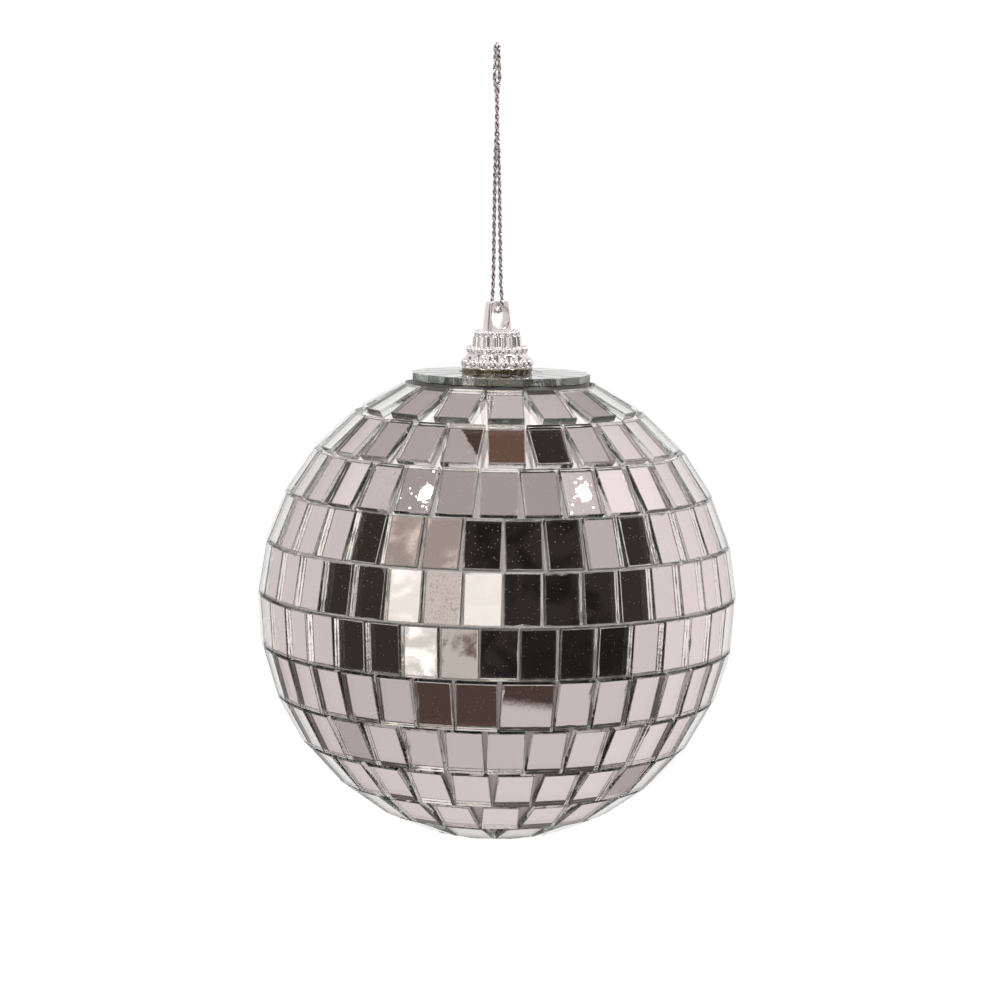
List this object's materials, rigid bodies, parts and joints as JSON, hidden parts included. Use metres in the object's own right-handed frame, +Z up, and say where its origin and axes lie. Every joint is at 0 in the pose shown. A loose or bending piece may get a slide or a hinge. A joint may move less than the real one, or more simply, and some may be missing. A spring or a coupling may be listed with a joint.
{
  "type": "hanging mirror ball",
  "caption": "Small foam ball covered in rows of rectangular mirror tiles, with a pearled crown cap, an eye peg and a thin cord loop that it hangs, turns and swings from.",
  "frame": {"origin": "the hang point: the inner side of the top of the cord loop, where a hook bears", "axes": "+Z up along the hanging cord, -Y towards the side that shows the broad closing tile of the eighth row, +X to its right; the ball's centre is on the Z axis, 115.1 mm below the origin"},
  "size_m": [0.0999, 0.1, 0.1657],
  "materials": {
    "glass": "silvered glass tiles with bare cut edges",
    "foam": "white expanded foam",
    "bed": "dried glue and thin backing sheet",
    "plated": "bright plated plastic",
    "glue": "dried glue",
    "cord": "twisted metallic thread"
  },
  "bodies": {
    "loop": {"loop_top": "cord", "loop_strands": "cord"},
    "bight": {"loop_bight": "cord"},
    "ball": {"foam_core": "foam", "tile_bed": "bed", "tile_row_01": "glass", "tile_row_02": "glass", "tile_row_03": "glass", "tile_row_04": "glass", "tile_row_05": "glass", "tile_row_06": "glass", "tile_row_07": "glass", "tile_row_08": "glass", "tile_row_09": "glass", "tile_row_10": "glass", "tile_row_11": "glass", "tile_row_12": "glass", "tile_row_13": "glass", "pole_tile": "glass", "crown_cap": "plated", "eye_peg": "plated", "peg_glue": "glue"}
  },
  "joints": [
    {"name": "ball_spin", "type": "hinge", "parent": "loop", "child": "bight", "pos_m": [0, 0, -0.0529], "axis": [0, 0, 1], "continuous": true, "deforming": ["loop_strands"]},
    {"name": "ball_swing", "type": "hinge", "parent": "bight", "child": "ball", "pos_m": [0, 0, -0.0529], "axis": [0.788, 0.6157, 0], "range_deg": [-100, 100]}
  ]
}
